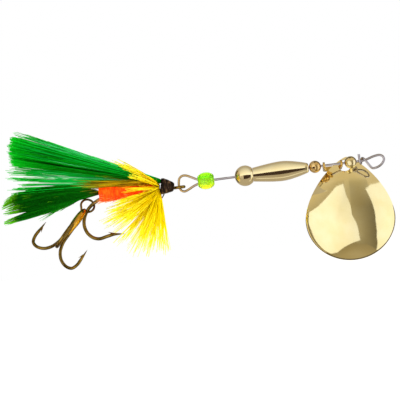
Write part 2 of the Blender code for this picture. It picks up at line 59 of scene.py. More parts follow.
def rgb(red, green, blue):
    """Linear red, green, blue and alpha of a display colour given as 0 to 255."""
    shares = (c / 255 for c in (red, green, blue))
    return *(c / 12.92 if c <= 0.04045 else ((c + 0.055) / 1.055) ** 2.4 for c in shares), 1.0


def new_material(name):
    made = bpy.data.materials.new(name)
    made.use_nodes = True
    return made, made.node_tree, made.node_tree.nodes["Principled BSDF"]


def set_inputs(node, values):
    for title, value in values.items():
        node.inputs[title].default_value = value


def add_node(tree, kind, values=()):
    node = tree.nodes.new("ShaderNode" + kind)
    set_inputs(node, dict(values))
    return node


def add_noise(tree, scale, detail=3.0, stretch=(1, 1, 1)):
    """Noise over the piece's own place, in cycles per metre along each axis."""
    mapping = add_node(tree, "Mapping", {"Scale": stretch})
    noise = add_node(tree, "TexNoise", {"Scale": scale, "Detail": detail})
    tree.links.new(add_node(tree, "TexCoord").outputs["Object"], mapping.inputs["Vector"])
    tree.links.new(mapping.outputs["Vector"], noise.inputs["Vector"])
    return noise.outputs["Fac"]


def add_coordinate(tree, axis):
    """The piece's own coordinate along one axis, in metres."""
    split = add_node(tree, "SeparateXYZ")
    tree.links.new(add_node(tree, "TexCoord").outputs["Object"], split.inputs["Vector"])
    return split.outputs[axis]


def add_attribute(tree, title):
    attribute = add_node(tree, "Attribute")
    attribute.attribute_name = title
    return attribute.outputs["Fac"]


def add_ramp(tree, factor, stops):
    """A colour ramp driven by factor. stops are (position, red, green, blue), with colours up to 255."""
    ramp = add_node(tree, "ValToRGB")
    elements = ramp.color_ramp.elements
    while len(elements) < len(stops):
        elements.new(0.5)
    for element, (position, *colour) in zip(elements, stops):
        element.position = position
        element.color = rgb(*colour)
    tree.links.new(factor, ramp.inputs["Fac"])
    return ramp.outputs["Color"]


def add_range(tree, value, start, end, low=0.0, high=1.0):
    """Maps start..end to low..high and holds the value at the ends."""
    limits = {"From Min": start, "From Max": end, "To Min": low, "To Max": high}
    node = add_node(tree, "MapRange", limits)
    tree.links.new(value, node.inputs["Value"])
    return node.outputs["Result"]


def add_mix(tree, factor, first, second, blend="MIX"):
    """Mixes two colours. Each of the three inputs is a socket or a plain value."""
    node = add_node(tree, "Mix")
    node.data_type = "RGBA"
    node.blend_type = blend
    for index, value in ((0, factor), (6, first), (7, second)):
        if isinstance(value, bpy.types.NodeSocket):
            tree.links.new(value, node.inputs[index])
        else:
            node.inputs[index].default_value = value
    return node.outputs[2]


def add_bump(tree, shader, height, strength, distance):
    bump = add_node(tree, "Bump", {"Strength": strength, "Distance": distance})
    tree.links.new(height, bump.inputs["Height"])
    tree.links.new(bump.outputs["Normal"], shader.inputs["Normal"])


def metal(name, dark, light, roughness, blotch=260, grain=2200, bump=0.0):
    """Polished or plated metal: its colour drifts over the piece, and fine wear changes its gloss."""
    made, tree, shader = new_material(name)
    colour = add_ramp(tree, add_noise(tree, blotch, 4), [(NOISE[0], *dark), (NOISE[1], *light)])
    tree.links.new(colour, shader.inputs["Base Color"])
    wear = add_noise(tree, grain, 5)
    tree.links.new(add_range(tree, wear, *NOISE, *roughness), shader.inputs["Roughness"])
    set_inputs(shader, {"Metallic": 1.0})
    if bump:
        add_bump(tree, shader, wear, bump, 0.02 * MM)
    return made


def paint_warm_reflection(made, start, end, reflected_colour):
    """Paints a warm reflection into the piece's colour, more and more between two distances along X."""
    tree = made.node_tree
    base = tree.nodes["Principled BSDF"].inputs["Base Color"]
    share = add_range(tree, add_coordinate(tree, "X"), start * MM, end * MM)
    tree.links.new(add_mix(tree, share, base.links[0].from_socket, rgb(*reflected_colour)), base)


def fibre(name, stops, root, tip, tip_from):
    """Hair or feather: each strand's own shade, running from a root colour to a tip colour."""
    made, tree, shader = new_material(name)
    colour = add_ramp(tree, add_attribute(tree, "tint"), stops)
    along = add_attribute(tree, "along")
    root_to, streak_depth = 0.16, 0.7
    for start, end, other in ((root_to, 0.0, root), (tip_from, 1.0, tip)):
        colour = add_mix(tree, add_range(tree, along, start, end), colour, rgb(*other))
    streaks = add_range(tree, add_noise(tree, 900, 2, (0.25, 1, 1)), *NOISE, 0.75, 1.0)
    colour = add_mix(tree, streak_depth, colour, streaks, "MULTIPLY")
    tree.links.new(colour, shader.inputs["Base Color"])
    set_inputs(shader, {"Roughness": 0.5, "Specular IOR Level": 0.04})
    return made


def wound(name, stops, pitch, roughness):
    """Thread or floss wound round a piece that lies along X: fine turns across it."""
    made, tree, shader = new_material(name)
    colour = add_ramp(tree, add_noise(tree, 700, 4, (2.5, 1, 1)), stops)
    tree.links.new(colour, shader.inputs["Base Color"])
    turns = add_noise(tree, 1 / pitch, 2, (1, 0.08, 0.08))
    add_bump(tree, shader, turns, 0.6, pitch * 0.25)
    set_inputs(shader, {"Roughness": roughness, "Specular IOR Level": 0.1})
    return made


def bead_plastic():
    """Clear fluorescent plastic, with painted light: brighter and yellower at the bead's bottom than at its
    top.
    """
    made, tree, shader = new_material("chartreuse_plastic")
    radius = 1.6 * MM
    height = add_range(tree, add_coordinate(tree, "Z"), -radius, radius)
    # Painted light: bright yellow-green at the bottom, shading to darker green at the top.
    colour = add_ramp(tree, height, [(0.1, 214, 240, 40), (0.8, 140, 226, 24)])
    tree.links.new(colour, shader.inputs["Base Color"])
    tree.links.new(add_range(tree, add_noise(tree, 500), *NOISE, 0.05, 0.1), shader.inputs["Roughness"])
    set_inputs(shader, {"Transmission Weight": 0.72, "IOR": 1.4})
    return made


GOLD = metal("gold_plate", (246, 228, 168), (252, 238, 188), (0.035, 0.09), grain=3000)
BRASS = metal("polished_brass", (236, 216, 162), (246, 232, 188), (0.08, 0.16), bump=0.05)
CLEVIS_BRASS = metal("clevis_brass", (222, 176, 84), (240, 206, 120), (0.1, 0.2), bump=0.08)
COPPERY = metal("warm_brass", (218, 178, 110), (238, 206, 144), (0.1, 0.18), bump=0.08)
STEEL = metal("stainless_wire", (172, 166, 174), (208, 202, 208), (0.08, 0.16), bump=0.05)
BRONZE = metal("bronzed_hook", (86, 66, 24), (158, 128, 58), (0.06, 0.14), 420, bump=0.15)
BRAZE = metal("brass_braze", (212, 156, 50), (242, 194, 86), (0.15, 0.3), 500, bump=0.3)
# Painted reflection: the steel wire turns warm brown towards its rear loop, standing in for warm surroundings
# mirrored there.
paint_warm_reflection(STEEL, -37.0, -40.0, (206, 174, 122))
BEAD = bead_plastic()
# Partly painted highlights: the two dark stops are the thread's own tone, and the palest stop makes light
# speckles that stand in for glints.
THREAD = wound("black_thread", [(0.4, 12, 7, 4), (0.56, 40, 26, 16), (0.7, 92, 70, 48)], 0.00013, 0.3)
FLOSS = wound("orange_floss", [(0.3, 255, 44, 0), (0.55, 255, 72, 0), (0.75, 255, 104, 10)], 0.0002, 0.6)
STEM = wound("hackle_stem", [(0.3, 190, 130, 10), (0.7, 250, 200, 20)], 0.0003, 0.5)
FUZZ = fibre(
    "floss_fuzz",
    [(0.0, 255, 110, 20), (1.0, 255, 190, 110)],
    (255, 90, 0), (255, 200, 140), 0.5,
)
HACKLE = fibre(
    "yellow_hackle",
    [(0.0, 255, 232, 0), (0.45, 255, 208, 0), (0.75, 200, 150, 10), (1.0, 96, 52, 8)],
    (222, 168, 14), (255, 247, 44), 0.55,
)
HACKLE_BACK = fibre(
    "hackle_back",
    [(0.0, 255, 214, 20), (0.4, 196, 160, 10), (0.7, 140, 84, 10), (1.0, 96, 26, 6)],
    (240, 190, 20), (128, 140, 20), 0.6,
)
WING = fibre(
    "green_hair",
    [(0.0, 0, 72, 0), (0.3, 0, 136, 4), (0.62, 0, 188, 24), (0.85, 14, 216, 84), (1.0, 120, 238, 180)],
    (0, 130, 16), (0, 198, 24), 0.8,
)
TAIL = fibre(
    "dark_green_feather",
    [(0.0, 0, 46, 0), (0.5, 0, 92, 0), (0.85, 8, 124, 4), (1.0, 40, 156, 16)],
    (48, 44, 8), (112, 214, 16), 0.86,
)


# ---- meshes


def place(obj, body, nodes):
    """Puts a finished piece on its CAD body, in place of the nodes that it shows."""
    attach(obj, body)
    if nodes:
        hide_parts(*nodes)


def link_object(name, data):
    obj = bpy.data.objects.new(name, data)
    bpy.context.scene.collection.objects.link(obj)
    return obj


def new_object(name, mesh, look):
    obj = link_object(name, mesh)
    mesh.materials.clear()
    mesh.materials.append(look)
    return obj


def join(mesh, distance, turn_out=False):
    """Merges vertices closer than distance and, if asked, turns the faces outwards."""
    shape = bmesh.new()
    shape.from_mesh(mesh)
    bmesh.ops.remove_doubles(shape, verts=shape.verts, dist=distance)
    if turn_out:
        bmesh.ops.recalc_face_normals(shape, faces=shape.faces)
    shape.to_mesh(mesh)
    shape.free()


def shade(mesh, sharp):
    """Smooth shading, apart from edges sharper than this many degrees."""
    mesh.shade_smooth()
    mesh.set_sharp_from_angle(angle=radians(sharp))


def grid_faces(rows, columns, first=0, ring=True, closed=False):
    """Quads over a grid of points stored row by row from index first.

    With ring each row closes on itself, and with closed the last row joins the first.
    """
    faces = []
    for i in range(rows if closed else rows - 1):
        here, there = first + i * columns, first + (i + 1) % rows * columns
        for j in range(columns if ring else columns - 1):
            k = (j + 1) % columns
            faces.append((here + j, here + k, there + k, there + j))
    return faces


def mesh_from(name, points, faces, look, sharp=40):
    """A smooth-shaded object from points in millimetres."""
    mesh = bpy.data.meshes.new(name)
    mesh.from_pydata(np.asarray(points, float) * MM, [], faces)
    join(mesh, 1e-8, turn_out=True)
    shade(mesh, sharp)
    return new_object(name, mesh, look)


def smooth_path(points, step=0.15, straight=4.0):
    """Points along a centripetal Catmull-Rom curve. Spans longer than straight stay straight."""
    points = [Vector(p) for p in points]
    ends = [2 * points[0] - points[1], *points, 2 * points[-1] - points[-2]]
    path = [points[0]]
    for a, b, c, d in zip(ends, ends[1:], ends[2:], ends[3:]):
        knots = [0.0]
        for start, end in ((a, b), (b, c), (c, d)):
            knots.append(knots[-1] + max((end - start).length, 1e-6) ** 0.5)
        k0, k1, k2, k3 = knots
        length = (c - b).length
        steps = 1 if length > straight else max(1, round(length / step))
        for i in range(1, steps + 1):
            t = k1 + (k2 - k1) * i / steps
            ab = a.lerp(b, (t - k0) / (k1 - k0))
            bc = b.lerp(c, (t - k1) / (k2 - k1))
            cd = c.lerp(d, (t - k2) / (k3 - k2))
            abc = ab.lerp(bc, (t - k0) / (k2 - k0))
            bcd = bc.lerp(cd, (t - k1) / (k3 - k1))
            path.append(abc.lerp(bcd, (t - k1) / (k2 - k1)))
    return path


def wire(name, path, radius, look, shrink=None, sides=16):
    """A round wire along path, its radius scaled by shrink at each point."""
    path = np.array([tuple(p) for p in path])
    shrink = np.ones(len(path)) if shrink is None else np.asarray(shrink)
    tangents = np.gradient(path, axis=0)
    tangents /= np.linalg.norm(tangents, axis=1)[:, None]
    across = np.cross(tangents[0], (0.3, 1.0, 0.2))
    angles = np.arange(sides) * TAU / sides
    points = []
    for centre, along, share in zip(path, tangents, shrink):
        across = across - along * across.dot(along)
        across /= np.linalg.norm(across)
        other = np.cross(along, across)
        ring = np.cos(angles)[:, None] * across + np.sin(angles)[:, None] * other
        points.extend(centre + ring * radius * share)
    faces = grid_faces(len(path), sides)
    faces.append(tuple(range(sides))[::-1])
    faces.append(tuple(range(len(points) - sides, len(points))))
    return mesh_from(name, points, faces, look)


def lathe(name, profile, look, axis_from=(0, 0, 0), axis_to=None, segments=96, sharp=40):
    """A solid of revolution. A profile that starts off the axis closes on itself.

    profile lists (radius, distance), measured from axis_from towards axis_to, or along +X.
    """
    start = Vector(axis_from)
    along = (Vector(axis_to) - start).normalized() if axis_to is not None else Vector((1, 0, 0))
    turn = along.to_track_quat("Z", "Y").to_matrix()
    closed = profile[0][0] > 1e-6
    points = []
    for radius, distance in profile:
        for j in range(segments):
            angle = TAU * j / segments
            spot = Vector((radius * cos(angle), radius * sin(angle), distance))
            points.append(tuple(start + turn @ spot))
    return mesh_from(name, points, grid_faces(len(profile), segments, closed=closed), look, sharp)


def arc(centre, radius, start, end, steps):
    """Points of an arc in a plane, with angles in degrees."""
    angles = [radians(start + (end - start) * i / steps) for i in range(steps + 1)]
    return [(centre[0] + radius * cos(a), centre[1] + radius * sin(a)) for a in angles]


def smooth_profile(points, step):
    return [(p.x, p.y) for p in smooth_path([(r, h, 0) for r, h in points], step, math.inf)]


def strands(name, paths, radii, tints, look):
    """One mesh of many strands. paths is strands x points x 3, radii strands x points."""
    (count, steps, _), sides = paths.shape, 3
    tangents = np.gradient(paths, axis=1)
    tangents /= np.linalg.norm(tangents, axis=2)[:, :, None] + 1e-12
    across = np.cross(tangents, np.array((0.15, 1.0, 0.3)))
    across /= np.linalg.norm(across, axis=2)[:, :, None] + 1e-12
    other = np.cross(tangents, across)
    angles = np.arange(sides) * TAU / sides
    outward = across[:, :, None, :] * np.cos(angles)[:, None] + other[:, :, None, :] * np.sin(angles)[:, None]
    rings = paths[:, :, None, :] + outward * radii[:, :, None, None]
    index = np.arange(count * steps * sides).reshape(count, steps, sides)
    a, b = index[:, :-1, :], index[:, 1:, :]
    quads = np.stack([a, np.roll(a, -1, 2), np.roll(b, -1, 2), b], -1).reshape(-1, 4)
    caps = np.concatenate([index[:, 0, ::-1], index[:, -1, :]])
    mesh = bpy.data.meshes.new(name)
    mesh.vertices.add(index.size)
    mesh.vertices.foreach_set("co", (rings * MM).astype(np.float32).ravel())
    loops = np.concatenate([quads.ravel(), caps.ravel()])
    sizes = np.concatenate([np.full(len(quads), 4), np.full(len(caps), sides)])
    mesh.loops.add(len(loops))
    mesh.loops.foreach_set("vertex_index", loops.astype(np.int32))
    mesh.polygons.add(len(sizes))
    mesh.polygons.foreach_set("loop_start", (np.cumsum(sizes) - sizes).astype(np.int32))
    mesh.update(calc_edges=True)
    mesh.shade_smooth()
    tint = np.broadcast_to(tints[:, None, None], index.shape)
    along = np.broadcast_to(np.linspace(0, 1, steps)[None, :, None], index.shape)
    for title, values in (("tint", tint), ("along", along)):
        attribute = mesh.attributes.new(title, "FLOAT", "POINT")
        attribute.data.foreach_set("value", values.astype(np.float32).ravel())
    return new_object(name, mesh, look)


def smooth_copy(node, look):
    """A smooth-shaded copy of a CAD node, with its faceted vertices joined."""
    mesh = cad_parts[node].data.copy()
    join(mesh, 1e-6)
    mesh.name = node + "_fine"
    shade(mesh, 35)
    return new_object(mesh.name, mesh, look)


# ---- shaft and what it carries

WIRE_R, BORE_R = 0.25, 0.34
WRAP_R, WRAP_X, WRAP_TURNS, WRAP_PITCH = 0.56, -2.92, 0.75, 0.90


def shaft():
    """The wire, from the line eye's tag and wrap through the eye and shaft to the rear loop."""
    ease, steps = 0.02, 12
    tag_x = WRAP_X - WRAP_TURNS * WRAP_PITCH - ease
    path = [(tag_x, -WRAP_R - ease, z) for z in (1.48, 0.5)]
    for i in range(steps, -1, -1):
        turn = WRAP_TURNS * i / steps
        angle = pi / 2 - TAU * turn
        path.append((WRAP_X - WRAP_PITCH * turn, WRAP_R * cos(angle), WRAP_R * sin(angle)))
    path += [(-2.70, -0.40, 0.40), (-2.35, -0.56, -0.04), (-1.85, -0.38, -0.82), (-1.42, -0.14, -1.46)]
    path += [(x, 0, z) for x, z in (
        (-1.00, -1.82), (-0.20, -1.78), (0.60, -1.46), (1.25, -0.92), (1.60, -0.25), (1.42, 0.38),
        (0.92, 0.72), (0.30, 0.77), (-0.85, 0.56), (-2.05, 0.18), (-3, 0), (-4.5, 0), (-6, 0), (-33, 0),
        (-34.4, 0), (-36.2, 0.18), (-38.0, 0.50), (-39.2, 1.10), (-40.3, 1.62), (-41.1, 1.66), (-41.75, 1.22),
        (-42.0, 0.45), (-42.05, -0.35), (-41.95, -0.95), (-41.6, -1.45), (-41.0, -1.66), (-40.2, -1.40),
        (-39.1, -0.85), (-38.0, -0.48), (-36.8, -0.52), (-35.6, -0.61),
    )]
    place(wire("wire_fine", smooth_path(path), WIRE_R, STEEL), "wire", ["shaft_wire"])


def beads():
    radius = 1.30
    edge = math.degrees(math.acos(BORE_R / radius))
    profile = arc((0, 0), radius, edge, -edge, 40)
    for node, x, look, slot in (
        ("front_bead", -5.50, BRASS, "polished_brass"),
        ("rear_bead", -13.08, COPPERY, "warm_brass"),
    ):
        place(lathe(node + "_fine", profile, look, (x, 0, 0)), node, [node])


def body():
    """The spindle and, behind it, the ball, whose front is cut flat where the two meet."""
    front, rear = -14.48, -26.24
    side = [(0.83, front), (0.98, -14.62), (1.25, -15.4), (1.66, -17.0), (2.00, -18.8), (2.10, -20.2)]
    side += [(2.02, -21.8), (1.82, -23.6), (1.60, -25.2), (1.46, rear)]
    outer = [(BORE_R, front), *smooth_profile(side, 0.2), (BORE_R, rear)]
    place(lathe("spindle_fine", outer, BRASS, segments=128), "spindle", ["body_weight"])
    centre, radius, face_x = -27.95, 2.18, -26.32
    face = math.degrees(math.asin((face_x - centre) / radius))
    tail = -math.degrees(math.acos(BORE_R / radius))
    profile = [(BORE_R, face_x), *arc((0, centre), radius, face, tail, 60)]
    place(lathe("ball_fine", profile, BRASS, segments=128), "ball", ["rear_ball"])


def lock_bead():
    bore, radius, half, reach, power, steps = 0.95, 1.78, 1.73, 2.0, 2.2, 40
    profile = [(bore, half)]
    for i in range(steps + 1):
        h = half * (1 - 2 * i / steps)
        profile.append((radius * (1 - abs(h / reach) ** power) ** (1 / power), h))
    profile.append((bore, -half))
    piece = lathe("lock_bead_fine", profile, BEAD, (-36.28, 0, 0), sharp=50)
    place(piece, "lock_bead", ["lock_bead"])


# ---- clevis and blade

BLADE_LENGTH, BLADE_WIDTH, BLADE_MIDDLE = 22.0, 19.1, 0.6
BLADE_DEPTH, BLADE_THICK = 3.40, 0.45
BLADE_TOP, BLADE_RIM_Y, BLADE_LEAN = (-6.05, 1.30), 2.05, radians(3.3)
BLADE_ROLL_FROM, BLADE_ROLL, BLADE_ROLL_BELOW = 0.965, 0.24, 9.6
BLADE_SETBACK, BLADE_SETBACK_TO = 0.22, 5.0
BLADE_HOLE, BLADE_HOLE_R = Vector((-6.68, BLADE_RIM_Y, -0.62)), 1.35
CLEVIS_TURN = radians(15)


def blade_half_width(share):
    """Half the blade's width at a share of its length, from its top to its round end."""
    if share >= BLADE_MIDDLE:
        away = (share - BLADE_MIDDLE) / (1 - BLADE_MIDDLE)
        return BLADE_WIDTH / 2 * math.sqrt(max(0.0, 1 - away**2))
    away = (BLADE_MIDDLE - share) / BLADE_MIDDLE
    return BLADE_WIDTH / 2 * max(0.0, 1 - away**1.7) ** 0.75


def blade_point(across, along, rise):
    """A point of the dish from its place in the rim's plane and its rise towards -Y."""
    x = BLADE_TOP[0] + across * cos(BLADE_LEAN) - along * sin(BLADE_LEAN)
    z = BLADE_TOP[1] - across * sin(BLADE_LEAN) - along * cos(BLADE_LEAN)
    return x, BLADE_RIM_Y - rise, z


def blade():
    """The dished plate, built outwards from its middle in rings shaped like its outline.

    The lowest part of the rim rolls back, and the top edge sits back from the front bead.
    """
    stations, steps, rim_steps = 96, 36, 6
    half = []
    for i in range(stations + 1):
        share = (1 - cos(pi * i / stations)) / 2
        half.append((blade_half_width(share), share * BLADE_LENGTH))
    outline = half + [(-w, v) for w, v in reversed(half[1:-1])]
    middle = BLADE_MIDDLE * BLADE_LENGTH
    count, inner, rim = len(outline), steps - rim_steps, 1 - BLADE_ROLL_FROM
    points = [blade_point(0, middle, BLADE_DEPTH)]
    for i in range(1, steps + 1):
        share = min(BLADE_ROLL_FROM, i / inner) + rim * max(0, i - inner) / rim_steps
        roll = BLADE_ROLL * (max(0.0, share - BLADE_ROLL_FROM) / rim) ** 2
        for w, v in outline:
            along = middle + (v - middle) * share
            low = min(1.0, max(0.0, (v - BLADE_ROLL_BELOW) / 4))
            rise = BLADE_DEPTH * (1 - share**2) - roll * low
            rise -= BLADE_SETBACK * max(0.0, 1 - along / BLADE_SETBACK_TO)
            points.append(blade_point(w * share, along, rise))
    faces = [(0, 1 + (j + 1) % count, 1 + j) for j in range(count)]
    faces += grid_faces(steps, count, first=1)
    plate = mesh_from("blade_fine", points, faces, GOLD)
    thicken = plate.modifiers.new("plate", "SOLIDIFY")
    thicken.thickness = BLADE_THICK * MM
    thicken.offset = 1.0 if plate.data.polygons[0].normal.y > 0 else -1.0
    along = 2 * Vector((0, cos(CLEVIS_TURN), -sin(CLEVIS_TURN)))
    rod = [(0, 0), (BLADE_HOLE_R, 0), (BLADE_HOLE_R, 4), (0, 4)]
    drill = lathe("drill", rod, GOLD, BLADE_HOLE - along, BLADE_HOLE + along)
    cut = plate.modifiers.new("hole", "BOOLEAN")
    cut.operation = "DIFFERENCE"
    cut.object = drill
    cut.solver = "EXACT"
    bpy.context.view_layer.update()
    mesh = bpy.data.meshes.new_from_object(plate.evaluated_get(bpy.context.evaluated_depsgraph_get()))
    bpy.data.objects.remove(drill, do_unlink=True)
    bpy.data.objects.remove(plate, do_unlink=True)
    shade(mesh, 40)
    place(new_object("blade_fine", mesh, GOLD), "blade", ["blade"])


def clevis():
    place(smooth_copy("clevis", CLEVIS_BRASS), "clevis", ["clevis"])


# ---- hooks

HOOK_R = 0.37
SHANK_FRONT, SHANK_REAR = (-43.70, -0.65), (-58.30, -0.90)
TREBLE_WIRE_R, TREBLE_EYE_SHARE = 0.34, 0.92 * 0.25 / 0.34
TREBLE_EYE, TREBLE_EYE_LONG, TREBLE_EYE_WIDE = Vector((-61.74, 0.06, -2.06)), 1.50, 1.42
TREBLE_TURNS = (210, -30, 90)
TREBLE_SLOPE, TREBLE_TILT = radians(48.5), radians(33)


def shank_z(x):
    (x1, z1), (x2, z2) = SHANK_FRONT, SHANK_REAR
    return z1 + (z2 - z1) * (x - x1) / (x2 - x1)


def barb(name, root, point, radius):
    length = (Vector(point) - Vector(root)).length
    return lathe(name, [(0, 0), (radius, 0), (0.02, length), (0, length)], BRONZE, root, point, segments=16)


def fly_hook():
    eye_z = SHANK_FRONT[1]
    path = [(x, y, eye_z) for x, y in arc((-41.90, 0), 0.88, 215, 505, 14)] + [(-43.15, 0.16, eye_z)]
    path += [(x, 0, shank_z(x)) for x in (SHANK_FRONT[0], -44.8, -57.0, SHANK_REAR[0])]
    path += [(x, 0, z) for x, z in (
        (-59.2, -1.12), (-60.3, -1.68), (-61.4, -2.50), (-62.3, -3.65), (-62.85, -5.00), (-62.95, -6.30),
        (-62.5, -7.75), (-61.4, -8.90), (-60.1, -9.30), (-58.6, -9.03), (-57.2, -8.78), (-55.7, -8.84),
        (-54.6, -8.95),
    )]
    path = smooth_path(path)
    bend_z, taper_from, tip = -7.5, -57.6, -54.6
    eye_steps, eye_share = 36, 0.9
    shrink = []
    for i, p in enumerate(path):
        if p.z < bend_z and p.x > taper_from:
            shrink.append(max(0.04, (tip - p.x) / (tip - taper_from)) ** 0.8)
        else:
            shrink.append(min(1.0, eye_share + (1 - eye_share) * max(0.0, (i - eye_steps) / 20)))
    place(wire("fly_hook_fine", path, HOOK_R, BRONZE, shrink), "fly", ["fly_hook"])
    point = barb("fly_hook_barb", (-56.75, 0, -8.72), (-58.15, 0, -8.12), 0.24)
    place(point, "fly", ())


def treble_axes():
    """Unit vectors along the shank and, square to it, towards 0 and 90 degrees round it."""
    fall = Vector((-cos(TREBLE_SLOPE), 0, -sin(TREBLE_SLOPE)))
    shank = fall * cos(TREBLE_TILT) - Vector((0, sin(TREBLE_TILT), 0))
    right = Vector((sin(TREBLE_SLOPE), 0, -cos(TREBLE_SLOPE)))
    return shank, right, shank.cross(right)


def treble_point(along, out, degrees):
    shank, right, front = treble_axes()
    a = radians(degrees)
    return TREBLE_EYE + shank * along + (right * cos(a) + front * sin(a)) * out


def treble_leg(degrees):
    """One hook from its shank's top to its point, as (along, out) stations."""
    stations = [(1.9, 0.42), (2.6, 0.42), (8.6, 0.42), (9.7, 0.42), (10.9, 0.55), (12.6, 1.22)]
    stations += [(13.65, 2.47), (13.8, 4.2), (13.0, 5.6), (11.4, 6.15), (9.9, 6.15), (8.5, 6.1), (7.2, 6.05)]
    return [treble_point(w, out, degrees) for w, out in stations]


def tapered(path):
    """Shares of the wire's radius that sharpen the last part of a path to a point."""
    tip, taper_length = 0.06, 3.0
    left, shares = 0.0, [tip]
    for a, b in zip(path[::-1], path[::-1][1:]):
        left += (a - b).length
        shares.append(min(1.0, tip + (1 - tip) * (left / taper_length) ** 0.8))
    return shares[::-1]


def treble():
    shank, across, _ = treble_axes()
    eye = []
    for x, y in arc((0, 0), 1, -42, -318, 18):
        eye.append(TREBLE_EYE + shank * TREBLE_EYE_LONG * x + across * TREBLE_EYE_WIDE * y)
    left, right, third = TREBLE_TURNS
    path = smooth_path(treble_leg(left)[::-1] + eye + treble_leg(right))
    half = len(path) // 2
    shrink = tapered(path[:half][::-1])[::-1] + tapered(path[half:])
    blend_length = 1.2
    for i, p in enumerate(path):
        past_eye = ((p - TREBLE_EYE).dot(shank) - TREBLE_EYE_LONG) / blend_length
        shrink[i] *= TREBLE_EYE_SHARE + (1 - TREBLE_EYE_SHARE) * min(1.0, max(0.0, past_eye))
    pair = wire("treble_pair_fine", path, TREBLE_WIRE_R, BRONZE, shrink)
    place(pair, "treble", ["treble_pair"])
    path = smooth_path(treble_leg(third))
    piece = wire("treble_third_fine", path, TREBLE_WIRE_R, BRONZE, tapered(path))
    place(piece, "treble", ["treble_third"])
    for i, degrees in enumerate(TREBLE_TURNS):
        root, point = treble_point(8.8, 6.0, degrees), treble_point(10.1, 5.45, degrees)
        place(barb(f"treble_barb_{i + 1}", root, point, 0.2), "treble", ())
    start, end = TREBLE_EYE + shank * 1.0, TREBLE_EYE + shank * 8.6
    length = (end - start).length
    side = [(0.02, 0), (0.24, 0.06), (0.46, 0.4), (0.74, 1.5), (0.82, 4.0), (0.72, 5.4)]
    side = smooth_profile([*side, (0.60, length - 0.5), (0.46, length)], 0.2)
    braze = lathe("braze_fine", [(0, 0), *side, (0, length)], BRAZE, start, end)
    place(braze, "treble", ["treble_braze"])


# ---- the fly's wound parts


def winding(name, start, end, profile, thread_r, pitch, look, layers):
    """Thread wound round a profile of (radius, distance) between two axis points, there and back."""
    start, end = np.array(start, float), np.array(end, float)
    length = np.linalg.norm(end - start)
    along = (end - start) / length
    side = np.cross(along, (0, 0, 1.0))
    side /= np.linalg.norm(side)
    up = np.cross(side, along)
    radii, distances = np.array(profile).T
    path = []
    per_turn = 26
    for layer in range(layers):
        lift = thread_r * (0.4 + 0.5 * layer)
        spacing = pitch * (1 + 0.45 * layer)
        count = int(length / spacing * per_turn)
        for i in range(count + 1):
            share = i / count if layer % 2 == 0 else 1 - i / count
            distance = share * length
            angle = TAU * i / per_turn
            radius = np.interp(distance, distances, radii) + lift
            path.append(start + along * distance + radius * (cos(angle) * side + sin(angle) * up))
    return wire(name, path, thread_r, look, sides=6)


def head():
    front, rear = (-43.15, 0, -0.42), (-45.85, 0, 0.08)
    length = (Vector(rear) - Vector(front)).length
    side = [(0.55, 0.0), (0.76, 0.15), (1.06, 0.8), (1.36, 1.6), (1.55, 2.3), (1.50, length)]
    side = smooth_profile(side, 0.1)
    core = lathe("head_core", [(0, 0), *side, (0, length)], THREAD, front, rear)
    place(core, "fly", ["thread_head"])
    turns = winding("head_turns", front, rear, side, thread_r=0.085, pitch=0.15, look=THREAD, layers=3)
    place(turns, "fly", ())
    path = smooth_path([(-45.30, 0, -1.5), (-45.62, 0, -2.0), (-45.95, 0, -2.45)])
    place(wire("thread_tag_fine", path, 0.11, THREAD), "fly", ["thread_tag"])
    place(smooth_copy("thread_base", THREAD), "fly", ["thread_base"])
    stem = [(0, 0), (1.02, 0), (1.18, 0.15), (1.18, 0.5), (1.08, 0.6), (0, 0.6)]
    stem = lathe("stem_fine", stem, STEM, (-46.20, 0, -0.21), (-46.80, 0, -0.2))
    place(stem, "fly", ["hackle_stem"])


FLOSS_FROM, FLOSS_TO, FLOSS_LENGTH = (-46.88, 0, -0.20), (-59.00, 0, 0.08), 12.12
FLOSS_SIDE = [(1.08, 0), (1.14, 1.2), (1.34, 4.0), (1.60, 7.5), (1.76, 10.6), (1.74, 11.8)]
FLOSS_SIDE.append((1.50, FLOSS_LENGTH))


def floss():
    """Floss laid in flat turns, so that its outline is a row of low ribs."""
    rib, depth = 0.56, 0.09
    profile = [(0, 0)]
    for r, h in smooth_profile(FLOSS_SIDE, 0.07):
        profile.append((r - depth + depth * abs(sin(pi * h / rib)) ** 0.6, h))
    profile.append((0, FLOSS_LENGTH))
    piece = lathe("floss_fine", profile, FLOSS, FLOSS_FROM, FLOSS_TO, sharp=80)
    place(piece, "fly", ["floss_body"])


# ---- hair and feathers

BACK = np.array([-1.0, 0, 0])


def vectors(x, y, z):
    """Points or directions, one a row, from columns or plain numbers."""
    return np.stack(np.broadcast_arrays(x, y, z), 1)


def unit(rows):
    return rows / np.linalg.norm(rows, axis=1)[:, None]


def round_x(turn):
    """Unit vectors square to X, at angles from straight up."""
    return vectors(0, -np.sin(turn), np.cos(turn))


def bent(starts, directions, lengths, sag, sway=0.0, steps=9):
    """Strand paths: straight ahead, plus sag growing with the square of the way and a slow sway."""
    t = np.linspace(0, 1, steps)[None, :, None]
    way = directions[:, None, :] * lengths[:, None, None] * t
    bend = sag[:, None, :] * t**2
    sway = np.broadcast_to(sway, starts.shape)
    wave = sway[:, None, :] * np.sin(TAU * 0.75 * t + uniform(0, TAU, (len(starts), 1, 1))) * t
    return starts[:, None, :] + way + bend + wave


def taper(count, root, tip, steps=9):
    """Radii along each strand, each strand with its own thickness."""
    return uniform(0.8, 1.25, (count, 1)) * (root + (tip - root) * np.linspace(0, 1, steps))


def grown(name, groups, look):
    """One piece from groups of (paths, radii, tints)."""
    paths, radii, tints = (np.concatenate(parts) for parts in zip(*groups))
    return strands(name, paths, radii, np.clip(tints, 0, 1), look)


